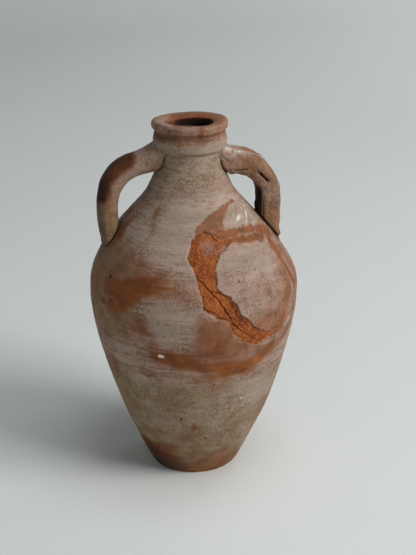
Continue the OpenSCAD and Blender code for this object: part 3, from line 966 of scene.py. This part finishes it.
def right_handle_piece():
    p, normal, share = swept_form(RIGHT_STRAND, side=1, rows=330, columns=220, square=3.2)
    x, y, z = p[..., 0], p[..., 1], p[..., 2]
    relief = fractal(p, 13, 3, 121) * 0.7 + fractal(p, 4, 3, 122) * 0.22
    relief += strand_grooves(p, share, 123, 0.45)
    lower = smooth(4, -8, normal[..., 2] * 10) + smooth(275, 255, z)
    coarse = fractal(p, 3.2, 3, 124)
    relief += np.clip(lower, 0, 1) * coarse * 0.32
    dark = np.zeros_like(share)
    for line, width, depth in RIGHT_SLOTS:
        near = bell(line_distance(p, line), width)
        relief -= depth * near
        # Painted shade in the slot, darker for a deeper slot.
        dark = np.maximum(dark, smooth(0.3, 0.8, near) * min(1, depth / 2))
    crease = luting(p, 292)
    inner_foot = 0.9 * smooth(-0.2, -0.7, normal[..., 0]) * smooth(262, 248, z)
    relief -= 2.0 * crease * (1 - inner_foot)
    thumb = np.linalg.norm(p - np.array([31, -11, 302]), axis=-1)
    relief += 0.7 * bell(thumb - 5.5, 1.1) - 0.5 * smooth(5, 2, thumb)
    skin = lean(p + normal * relief[..., None])
    rough, large = fractal(p, 8, 4, 125), fractal(p, 26, 2, 126)
    m = Masks.empty(share)
    # The pale streak and the paler, whiter upward faces near the root are lime, and also a painted
    # highlight on faces turned up to the light.
    upward = smooth(0.2, 0.8, normal[..., 2])
    streak = np.abs(y + 9 - 5 * smooth(45, 66, x) + 1.5 * rough)
    pale = smooth(3.2, 0.8, streak) * upward * smooth(74, 66, x)
    m.bloom_and_highlight = (0.30 + 0.12 * large + 0.16 * rough + 0.66 * upward * smooth(52, 36, x)
               - 0.36 * smooth(262, 240, z))
    m.bloom_and_highlight += 0.5 * smooth(9, 4, thumb) + 0.9 * pale
    m.white = (0.50 * pale + 0.10 * upward * smooth(48, 36, x)) * smooth(-0.3, 0.4, rough)
    brown = upward * smooth(38, 50, x) * (1 - pale) * smooth(-12, -4, y)
    m.iron = 0.12 + 0.20 * rough - 0.1 * large + 0.12 * brown
    m.raw = 0.30 * brown + 0.35 * smooth(2.2, 0.8, np.hypot(x - 66, z - 244)) * (y < 0)
    m.bloom_and_highlight *= 1 - 0.75 * brown
    pulled = strand_grooves(p, share, 127, 1.0) + 0.5 * rough
    m.iron += 0.26 * smooth(0.1, 0.8, pulled)
    m.bloom_and_highlight += 0.14 * smooth(0.0, -0.8, pulled)
    m.khaki = 0.35 * (1 - brown) + 0.3 * smooth(288, 282, z) * smooth(60, 50, x)
    m.khaki += 0.35 * smooth(0.2, -0.5, large) * smooth(278, 262, z)
    # Painted shade: the inner side turned from the light, the slots, the creases at the roots and the
    # hollows of the rough lower faces are darkened.
    inner_side = smooth(-0.45, -0.9, normal[..., 0]) * smooth(275, 265, z)
    m.dark = np.maximum(0.95 * dark, 0.95 * inner_side) + 0.10 * smooth(270, 245, z)
    m.dark += 0.16 * smooth(0.3, 1.0, pulled)
    m.dark = np.maximum(m.dark, 0.95 * smooth(0.2, 0.7, crease))
    m.dark = np.maximum(m.dark, 0.3 * smooth(0.35, 0.8, -coarse) * np.clip(lower, 0, 1))
    return closed_mesh("right_strand", skin, m, False, 70)


# ---- clay materials
class Shader:
    """Short names for the nodes of one material."""

    def __init__(self, name):
        self.material = bpy.data.materials.new(name)
        self.material.use_nodes = True
        self.tree = self.material.node_tree
        self.tree.nodes.clear()
        self.coordinates = self.node("ShaderNodeTexCoord", {})["Object"]

    def node(self, kind, inputs, **settings):
        """Adds a node and gives its outputs; an input is a plain value or another node's output."""
        node = self.tree.nodes.new(kind)
        for key, value in settings.items():
            setattr(node, key, value)
        for key, value in inputs.items():
            if isinstance(value, bpy.types.NodeSocket):
                self.tree.links.new(value, node.inputs[key])
            else:
                node.inputs[key].default_value = value
        return node.outputs

    def mask(self, name):
        return self.node("ShaderNodeAttribute", {}, attribute_name=name)["Fac"]

    def stretched(self, x, y, z):
        return self.node("ShaderNodeMapping", {"Vector": self.coordinates, "Scale": (x, y, z)})["Vector"]

    def noise(self, scale, detail=4.0, rough=0.55, vector=None):
        vector = vector or self.coordinates
        inputs = {"Vector": vector, "Scale": scale, "Detail": detail, "Roughness": rough}
        return self.node("ShaderNodeTexNoise", inputs)["Fac"]

    def cells(self, scale):
        return self.node("ShaderNodeTexVoronoi", {"Vector": self.coordinates, "Scale": scale})["Distance"]

    def plus(self, a, b):
        return self.node("ShaderNodeMath", {0: a, 1: b}, operation="ADD")[0]

    def minus(self, a, b):
        return self.node("ShaderNodeMath", {0: a, 1: b}, operation="SUBTRACT")[0]

    def times(self, a, b):
        return self.node("ShaderNodeMath", {0: a, 1: b}, operation="MULTIPLY")[0]

    def ramp(self, value, low, high, out_low=0.0, out_high=1.0):
        inputs = dict(enumerate((value, low, high, out_low, out_high)))
        return self.node("ShaderNodeMapRange", inputs, interpolation_type="SMOOTHSTEP")["Result"]

    def mix(self, share, a, b):
        a, b = (c if isinstance(c, bpy.types.NodeSocket) else (*c, 1.0) for c in (a, b))
        return self.node("ShaderNodeMix", {"Factor": share, 6: a, 7: b}, data_type="RGBA")[2]

    def finish(self, colour, roughness, height, strength, depth, gloss=0.3):
        bump = self.node("ShaderNodeBump", {"Strength": strength, "Distance": depth, "Height": height})
        inputs = {"Base Color": colour, "Roughness": roughness, "Specular IOR Level": gloss}
        shader = self.node("ShaderNodeBsdfPrincipled", {**inputs, "Normal": bump["Normal"]})
        self.node("ShaderNodeOutputMaterial", {"Surface": shader["BSDF"]})
        return self.material



CLAY = (0.30, 0.138, 0.074)
CLAY_DEEP = (0.20, 0.086, 0.046)
# Bloom tones; the bloom mask also lays them on as painted highlights on the collar, the lip and the right
# handle's top.
BLOOM_AND_HIGHLIGHT = (0.43, 0.328, 0.265)
COOL_BLOOM_AND_HIGHLIGHT = (0.32, 0.24, 0.188)
PALE_BLOOM_AND_HIGHLIGHT = (0.56, 0.48, 0.42)
IRON = (0.25, 0.070, 0.011)
IRON_DEEP = (0.155, 0.041, 0.008)
KHAKI = (0.285, 0.200, 0.108)
KHAKI_DEEP = (0.20, 0.130, 0.064)
RAW = (0.37, 0.094, 0.015)
RAW_LIGHT = (0.47, 0.165, 0.045)
RAW_DEEP = (0.24, 0.052, 0.009)
# Near-black for the dark mask: mostly painted shade, in a few places a dark stain.
SHADE_AND_DARK_STAIN = (0.020, 0.006, 0.003)
CHALK_AND_HIGHLIGHT = (0.74, 0.70, 0.65)


def clay_material(name, grain=1.0, drawn=1.0, raw_bump=0.0):
    """Fired clay under lime bloom; the vertex masks say what lies where, with painted shade and painted
    highlights among them, and nodes break it up.
    """
    s = Shader(name)
    round_jar = s.stretched(0.12, 0.12, 1.0)
    turned = s.noise(520, 4, 0.6, round_jar)
    turned_wide = s.noise(150, 3, 0.55, round_jar)
    blotch = s.noise(85, 5, 0.6)
    mottle = s.noise(330, 5, 0.65)
    speck = s.noise(850, 3, 0.65)
    pore = s.cells(430)
    crumbs = s.cells(240)

    def swing(value, by):
        return s.times(s.minus(value, 0.5), by)

    grainy = s.plus(swing(mottle, 0.95), swing(speck, 1.3))
    lined = s.plus(swing(turned, 1.7 * drawn), swing(blotch, 0.5))
    wander = s.plus(grainy, lined)

    def broken(mask, low, high, by=1.0):
        """A mask with its edge broken up by the grain and the turning marks."""
        return s.ramp(s.plus(s.mask(mask), s.times(wander, by)), low, high)

    clay = s.mix(s.ramp(blotch, 0.35, 0.68), CLAY_DEEP, CLAY)
    clay = s.mix(s.ramp(speck, 0.5, 0.7, 0.0, 0.35), clay, RAW_LIGHT)
    khaki = s.mix(s.ramp(s.plus(mottle, swing(blotch, 1.4)), 0.3, 0.7), KHAKI_DEEP, KHAKI)
    colour = s.mix(s.times(broken("khaki", 0.0, 1.0, 0.5), 0.92), clay, khaki)
    # Lime bloom, and painted highlights where its mask is raised on the collar's right front, the lip and
    # the right handle's top.
    bloom_and_highlight = s.mix(s.ramp(turned_wide, 0.35, 0.68), COOL_BLOOM_AND_HIGHLIGHT, BLOOM_AND_HIGHLIGHT)
    bloom_and_highlight = s.mix(s.ramp(speck, 0.52, 0.72, 0.0, 0.75), bloom_and_highlight, PALE_BLOOM_AND_HIGHLIGHT)
    colour = s.mix(s.times(broken("bloom_and_highlight", 0.08, 0.95), 0.94), colour, bloom_and_highlight)
    iron = s.mix(s.ramp(blotch, 0.36, 0.64), IRON_DEEP, IRON)
    colour = s.mix(s.times(broken("iron", 0.12, 1.0, 0.7), 0.93), colour, iron)
    raw = s.mix(s.ramp(blotch, 0.38, 0.6), RAW_DEEP, RAW)
    raw = s.mix(s.ramp(grainy, -0.02, 0.22), raw, RAW_LIGHT)
    colour = s.mix(broken("raw", 0.1, 0.9, 0.6), colour, raw)
    # grains: rust crumbs, dark specks, pale dust
    colour = s.mix(s.ramp(crumbs, 0.15, 0.07, 0.0, 0.55 * grain), colour, IRON)
    colour = s.mix(s.ramp(speck, 0.34, 0.26, 0.0, 0.6 * grain), colour, CLAY_DEEP)
    if drawn:
        colour = s.mix(s.ramp(turned, 0.41, 0.29, 0.0, 0.55 * drawn), colour, CLAY_DEEP)
    # Painted shade from the dark mask in hollows, cracks, creases, the mouth, the jar's inside and on sides
    # turned from the light; in a few places the mask is a dark stain instead.
    colour = s.mix(s.ramp(s.mask("dark"), 0.05, 0.95), colour, SHADE_AND_DARK_STAIN)
    # Lime crusts and strokes, and painted highlights where the white mask is raised on the collar's right
    # front and the right handle's top.
    colour = s.mix(broken("white", 0.3, 0.7, 0.5), colour, CHALK_AND_HIGHLIGHT)

    rough = s.ramp(mottle, 0.3, 0.7, 0.7, 0.92)
    height = s.times(turned, 0.6 * drawn)
    height = s.plus(height, s.times(mottle, 0.45))
    height = s.plus(height, s.times(speck, 0.5 * grain))
    height = s.minus(height, s.ramp(pore, 0.14, 0.04, 0.0, 0.5))
    if raw_bump:
        torn = s.noise(620, 6, 0.7)
        height = s.plus(height, s.times(torn, raw_bump))
    return s.finish(colour, rough, height, strength=0.95, depth=0.0011)


def stage_material():
    s = Shader("studio_sweep")
    shade = s.noise(1.3, 2, 0.5)
    colour = s.mix(s.ramp(shade, 0.3, 0.7), (0.80, 0.83, 0.825), (0.815, 0.845, 0.84))
    dust = s.noise(60, 3, 0.6)
    return s.finish(colour, 1.0, dust, strength=0.02, depth=0.0005, gloss=0.02)


# ---- studio
def studio_sweep():
    """One pale sheet: a round floor that curves up into a wall all round, so no view shows an edge."""
    floor_r, bend, top = 2.8, 1.1, 3.2
    line = [(0.3 * i, 0.0) for i in range(1, 10)]
    line += [(floor_r + bend * math.sin(a), bend - bend * math.cos(a))
             for a in np.linspace(0.1, math.pi / 2, 14)]
    line.append((floor_r + bend, top))
    around = 96
    turns = [2 * math.pi * i / around for i in range(around)]
    verts = [(r * math.cos(t), r * math.sin(t), z) for r, z in line for t in turns] + [(0, 0, 0)]
    faces = [(around * i + j, around * i + (j + 1) % around,
              around * (i + 1) + (j + 1) % around, around * (i + 1) + j)
             for i in range(len(line) - 1) for j in range(around)]
    faces += [((j + 1) % around, j, len(verts) - 1) for j in range(around)]
    mesh = bpy.data.meshes.new("studio_sweep")
    mesh.from_pydata(verts, [], [face[::-1] for face in faces])
    mesh.shade_smooth()
    mesh.materials.append(stage_material())
    sweep = add_object("studio_sweep", mesh)


def soft_light(name, place_at, aim, width, height, power, colour):
    data = bpy.data.lights.new(name, "AREA")
    data.shape = "RECTANGLE"
    data.size, data.size_y = width, height
    data.energy = power
    data.color = colour
    lamp = add_object(name, data)
    lamp.location = place_at
    lamp.rotation_euler = (Vector(aim) - Vector(place_at)).to_track_quat("-Z", "Y").to_euler()


# Name, place, aim, width, height, power, colour
LIGHTS = [
    ("window", (2.1, -1.4, 1.78), (0, -0.1, 0.12), 1.45, 1.45, 61, (1.0, 0.98, 0.95)),
    ("sky_card", (0.5, -0.35, 2.3), (0.1, -0.25, 0.1), 1.4, 1.4, 14, (0.95, 0.98, 1.0)),
    ("backdrop_card", (1.9, 1.9, 1.8), (0.7, 3.5, 0.1), 1.4, 1.0, 13.5, (0.97, 0.99, 1.0)),
]


def studio_lights():
    for light in LIGHTS:
        soft_light(*light)
    world = bpy.data.worlds.new("studio_air")
    world.use_nodes = True
    background = world.node_tree.nodes["Background"]
    background.inputs["Color"].default_value = (0.82, 0.86, 0.86, 1)
    background.inputs["Strength"].default_value = 0.08
    bpy.context.scene.world = world


def photo_camera():
    """The camera looks down on the jar from the front, turned so that the left handle is nearer."""
    distance, height, aside = 0.8601, 0.5288, 0.01506
    turn, pitch, roll = math.radians(-9), math.radians(21.93), math.radians(-0.25)
    data = bpy.data.cameras.new("photo_camera")
    data.sensor_width = 36
    data.lens = 65.68
    camera = add_object("photo_camera", data)
    heading = Matrix.Rotation(turn, 4, "Z")
    camera.matrix_world = (heading @ Matrix.Translation((aside, -distance, height))
                           @ Matrix.Rotation(math.pi / 2 - pitch, 4, "X")
                           @ Matrix.Rotation(roll, 4, "Z"))
    bpy.context.scene.camera = camera


# ---- making
photo_camera()
studio_sweep()
studio_lights()
bpy.context.scene.view_settings.view_transform = "Standard"

thrown = clay_material("bloomed_thrown_clay")
scraped = clay_material("scraped_lower_clay", grain=1.2, drawn=0.2)
smooth_strand = clay_material("left_strand_clay", grain=0.8, drawn=0.0)
rough_strand = clay_material("right_strand_clay", grain=1.3, drawn=0.0, raw_bump=0.4)
torn_clay = clay_material("torn_raw_clay", grain=1.2, drawn=0.0, raw_bump=0.9)
pale_clay = clay_material("pale_patch_clay", grain=1.1, drawn=0.2)
lip_clay = clay_material("lip_clay", grain=1.1, drawn=0.7)
neck_clay = clay_material("neck_clay", grain=0.9, drawn=0.6)

place(base_piece(), "base_disc", scraped)
place(wall_piece("lower_wall", FLOOR_TOP, BELLY_JOINT, 560, 1.0), "lower_body", scraped)
place(wall_piece("upper_wall", BELLY_JOINT, SHOULDER_JOINT, 640, 1.05), "upper_body", thrown)
place(wall_piece("neck_wall", SHOULDER_JOINT, LIP_FOOT, 420, 0.7), "neck", neck_clay)
place(collar_piece(), "collar_ring", neck_clay)
place(lip_piece(), "rim_lip", lip_clay)
place(left_handle_piece(), "left_handle", smooth_strand)
place(right_handle_piece(), "right_handle", rough_strand)
place(clay_piece(), "repair_clay", torn_clay)
place(patch_piece(), "repair_patch", pale_clay)
